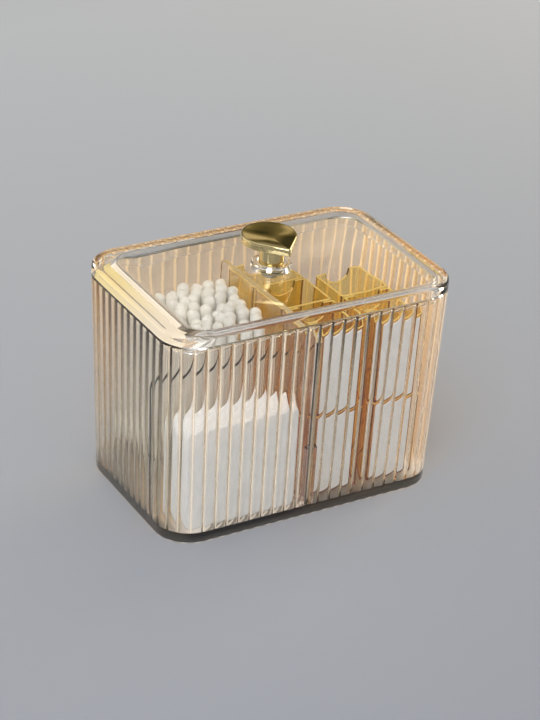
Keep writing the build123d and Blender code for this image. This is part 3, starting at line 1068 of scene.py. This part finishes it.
def build_pads():
    low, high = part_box("cotton_pads")
    solids = []
    for index in range(PAD_COUNT):
        centre = low.y + PAD_THICKNESS / 2 + index * (PAD_THICKNESS + PAD_GAP)
        solids.append(pad_solid(low, high, centre, PAD_SEED_STEP * index))
    pads = join_solids("cotton_pad_stack", solids, crease=60)
    dress(pads, PAD_COTTON, "case", "cotton_pad", "cotton_pads")


# ======== cotton swabs ========

SWAB_PITCH = 6.45 * MM
SWAB_COLUMNS = 6
SWAB_ROWS = 8
SWAB_LENGTH = 75 * MM
SWAB_STRAY = 0.25 * MM
SWAB_TURN = 2.4              # radians from one swab's stray to the next
SWAB_SEED = 11
STICK_RADIUS = 1.2 * MM
HEAD_RADIUS = 2.8 * MM
HEAD_LENGTH = 13 * MM
STICK_SEGMENTS = 16
STICK_INTO_HEAD = 0.9        # of the head's length, where the stick ends inside it
HEAD_SEGMENTS = 20
HEAD_LEVELS = (
    0.004, 0.02, 0.05, 0.1, 0.16, 0.24, 0.32, 0.4, 0.48, 0.56, 0.64, 0.72, 0.8, 0.9, 1.0
)
HEAD_TIP_END = 0.22
HEAD_FALL_START = 0.6
HEAD_NECK = 1.05             # of the stick's radius
HEAD_SWELL = 1.02
# A head's surface wanders by these shares of its radius: how much, how fast round, how fast up.
HEAD_LUMPS = (0.10, 1.1, 3)
HEAD_FIBRES = (0.04, 3.5, 9)
FIBRE_SEED = 5
# The noise seed's step from one swab to the next and its first value, for each end.
LOWER_SEED = (1.37, 0)
UPPER_SEED = (2.11, 40)
SWAB_SIDE_GAP = 0.8 * MM
SWAB_BACK_GAP = 0.7 * MM
SWAB_FOOT_GAP = 0.3 * MM
SWAB_FIRST_X = -(DIVIDER_THICKNESS / 2 + SWAB_SIDE_GAP + HEAD_RADIUS)
SWAB_LEAN = 1.1 * MM
SWAB_UNEVEN = 3.6 * MM
CROWN_PLACE = Vector((-20, 27)) * MM
CROWN_SPREAD = 15 * MM
CROWN_LIFT = 3.2 * MM


def swab_places():
    """Same rows as the model's: every second row is set off by half a pitch.
    Each comes with how far it stands up out of the bundle and how far its top leans."""
    chance = Random(SWAB_SEED)
    wall_y = case_half(CASE_WIDTH, CASE_FLOOR) - WALL
    first_y = wall_y - RAIL_REACH - SWAB_BACK_GAP - HEAD_RADIUS
    for row in range(SWAB_ROWS):
        for column in range(SWAB_COLUMNS - row % 2):
            angle = SWAB_TURN * (row * SWAB_COLUMNS + column)
            x = SWAB_FIRST_X - SWAB_PITCH * (column + row % 2 / 2) + SWAB_STRAY * cos(angle)
            y = first_y - SWAB_PITCH * sqrt(3) / 2 * row + SWAB_STRAY * sin(angle)
            crown = (Vector((x, y)) - CROWN_PLACE).length / CROWN_SPREAD
            lift = CROWN_LIFT * exp(-crown * crown) + chance.uniform(0, SWAB_UNEVEN)
            lean = Vector((chance.uniform(-1, 1), chance.uniform(-1, 1), 0)) * SWAB_LEAN
            yield Vector((x, y, CASE_FLOOR + SWAB_FOOT_GAP + lift)), lean


def head_radius(t):
    """Radius of a wound head from its tip at 0 to the bare stick at 1."""
    if t < HEAD_TIP_END:
        return HEAD_RADIUS * sqrt(max(0.0, 1 - ((HEAD_TIP_END - t) / HEAD_TIP_END) ** 2))
    fall = smooth_step(t, HEAD_FALL_START, 1)
    return HEAD_RADIUS + (STICK_RADIUS * HEAD_NECK - HEAD_RADIUS) * fall


def head_wander(t, way, seed):
    """A head's radius at a level and in a direction, as a share of the even radius."""
    lump, lump_round, lump_up = HEAD_LUMPS
    fibre, fibre_round, fibre_up = HEAD_FIBRES
    lumps = noise.noise(way * lump_round + Vector((seed, t * lump_up, 0)))
    fibres = noise.noise(way * fibre_round + Vector((seed * 2, t * fibre_up, FIBRE_SEED)))
    return HEAD_SWELL + lump * lumps + fibre * fibres


def head_solid(place, lean, upward, seed):
    """Cotton head with a lumpy, wound surface."""
    points = []
    for t in HEAD_LEVELS:
        z = t * HEAD_LENGTH if upward else SWAB_LENGTH - t * HEAD_LENGTH
        centre = place + lean * (z / SWAB_LENGTH) + Vector((0, 0, z))
        for i in range(HEAD_SEGMENTS):
            angle = 2 * pi * i / HEAD_SEGMENTS
            way = Vector((cos(angle), sin(angle), 0))
            points.append(centre + way * head_radius(t) * head_wander(t, way, seed))
    return points, ring_faces(HEAD_SEGMENTS, len(HEAD_LEVELS))


def build_swabs():
    ends = ((True, *LOWER_SEED), (False, *UPPER_SEED))
    inside_head = HEAD_LENGTH * STICK_INTO_HEAD
    profile = [(STICK_RADIUS, inside_head), (STICK_RADIUS, SWAB_LENGTH - inside_head)]
    straight_stick, faces = turned(profile, STICK_SEGMENTS)
    heads, sticks = [], []
    for index, (place, lean) in enumerate(swab_places()):
        for upward, seed_step, first_seed in ends:
            heads.append(head_solid(place, lean, upward, index * seed_step + first_seed))
        stick = [point + place + lean * (point.z / SWAB_LENGTH) for point in straight_stick]
        sticks.append((stick, faces))
    cotton = join_solids("swab_heads", heads, crease=60)
    dress(cotton, SWAB_COTTON, "case", "swab_cotton", "cotton_swabs")
    paper = join_solids("swab_sticks", sticks)
    dress(paper, STICK_PAPER, "case", "swab_cotton", "cotton_swabs")


# ======== stage, lamps and camera ========

NEAR_FLOOR = (0.31, 0.33, 0.38)
FAR_FLOOR = (0.57, 0.60, 0.64)
FLOOR_FADE = (-0.25, 0.6)    # Y of the last of the near tone and the first of the far tone
FLOOR_HALF = 4.0


def floor_material():
    """Pale table top that is a little lighter behind the box than in front of it."""
    material, nodes, links, shader = new_material("stage_floor")
    along = map_range(nodes, links, object_y(nodes, links), FLOOR_FADE)
    colour = colour_ramp(nodes, links, along, (0.0, NEAR_FLOOR), (1.0, FAR_FLOOR))
    links.new(colour, shader.inputs["Base Color"])
    cloud = object_noise(nodes, links, scale=2.5, detail=2)
    links.new(spread(nodes, links, cloud, low=0.55, high=0.65), shader.inputs["Roughness"])
    return material


def build_stage():
    corners = [(x, y, 0) for x, y in rectangle_corners(FLOOR_HALF, FLOOR_HALF)]
    floor_piece = new_piece("stage_floor", corners, [(0, 1, 2, 3)])
    floor_piece.data.materials.append(floor_material())


SKY = (
    (0.0, (0.52, 0.53, 0.55)),
    (0.25, (0.36, 0.36, 0.36)),
    (0.6, (0.42, 0.42, 0.42)),
    (0.85, (1.0, 1.0, 1.0)),
)
SKY_STRENGTH = 0.8
KNOB_MIRROR = Vector((0.45, 0.75, 0.485))
PATCH_EDGE = (0.93, 0.97)    # cosine of the angle from the patch's middle
PATCH = (
    (0.38, (0.06, 0.055, 0.03)),
    (0.50, (0.24, 0.20, 0.10)),
    (0.60, (0.75, 0.62, 0.42)),
)


def build_world():
    """Soft room light, paler overhead, with one dim warm patch that the knob's top mirrors."""
    world = bpy.data.worlds.new("studio")
    bpy.context.scene.world = world
    world.use_nodes = True
    nodes, links = world.node_tree.nodes, world.node_tree.links
    way = nodes.new("ShaderNodeTexCoord").outputs["Generated"]
    split = nodes.new("ShaderNodeSeparateXYZ")
    links.new(way, split.inputs["Vector"])
    sky = colour_ramp(nodes, links, split.outputs["Z"], *SKY)
    toward = nodes.new("ShaderNodeVectorMath")
    toward.operation = "DOT_PRODUCT"
    toward.inputs[1].default_value = KNOB_MIRROR.normalized()
    links.new(way, toward.inputs[0])
    inside_patch = map_range(nodes, links, toward.outputs["Value"], PATCH_EDGE)
    blotch = nodes.new("ShaderNodeTexNoise")
    blotch.inputs["Scale"].default_value = 6.0
    blotch.inputs["Detail"].default_value = 1.0
    links.new(way, blotch.inputs["Vector"])
    patch = colour_ramp(nodes, links, blotch.outputs["Fac"], *PATCH)
    background = nodes["Background"]
    links.new(mix_colours(nodes, links, inside_patch, sky, patch), background.inputs["Color"])
    background.inputs["Strength"].default_value = SKY_STRENGTH


LAMP_AIM = Vector((0, 0, 0.05))


def add_lamp(name, place, size, power, colour):
    lamp = bpy.data.lights.new(name, "AREA")
    lamp.shape = "RECTANGLE"
    lamp.size, lamp.size_y = size
    lamp.energy = power
    lamp.color = colour
    holder = bpy.data.objects.new(name, lamp)
    holder.location = place
    holder.rotation_euler = (LAMP_AIM - Vector(place)).to_track_quat("-Z", "Y").to_euler()
    bpy.context.scene.collection.objects.link(holder)


def build_lamps():
    add_lamp("key", (-0.7, -0.7, 1.0), size=(0.8, 0.8), power=9, colour=(0.97, 0.98, 1.0))
    add_lamp("warm_right", (1.3, 0.45, 0.7), size=(0.6, 0.6), power=6, colour=(1.0, 0.84, 0.62))
    add_lamp("warm_left", (-1.3, 1.2, 0.5), size=(1.6, 1.2), power=5, colour=(1.0, 0.82, 0.56))


def build_camera():
    azimuth, elevation = CAMERA_AZIMUTH, CAMERA_ELEVATION
    back = Vector(
        (sin(azimuth) * cos(elevation), -cos(azimuth) * cos(elevation), sin(elevation))
    )
    level = Vector((cos(azimuth), sin(azimuth), 0))
    upright = back.cross(level)
    right = level * cos(CAMERA_ROLL) + upright * sin(CAMERA_ROLL)
    up = upright * cos(CAMERA_ROLL) - level * sin(CAMERA_ROLL)
    data = bpy.data.cameras.new("photo_camera")
    data.lens = CAMERA_LENS
    data.shift_x, data.shift_y = CAMERA_SHIFT
    data.clip_start, data.clip_end = CAMERA_CLIP
    camera = bpy.data.objects.new("photo_camera", data)
    turn = Matrix((right, up, back)).transposed().to_4x4()
    camera.matrix_world = Matrix.Translation(CAMERA_TARGET + back * CAMERA_DISTANCE) @ turn
    bpy.context.scene.collection.objects.link(camera)
    bpy.context.scene.camera = camera


def set_render_options():
    scene = bpy.context.scene
    scene.view_settings.view_transform = "Standard"
    scene.cycles.max_bounces = 40
    scene.cycles.transmission_bounces = 36
    scene.cycles.glossy_bounces = 10
    scene.cycles.transparent_max_bounces = 40


build_camera()
build_stage()
build_world()
build_lamps()
set_render_options()
build_case()
build_rails()
build_lid()
build_collar()
build_knob()
build_cross_divider()
build_pad_divider()
build_bins()
build_pads()
build_swabs()
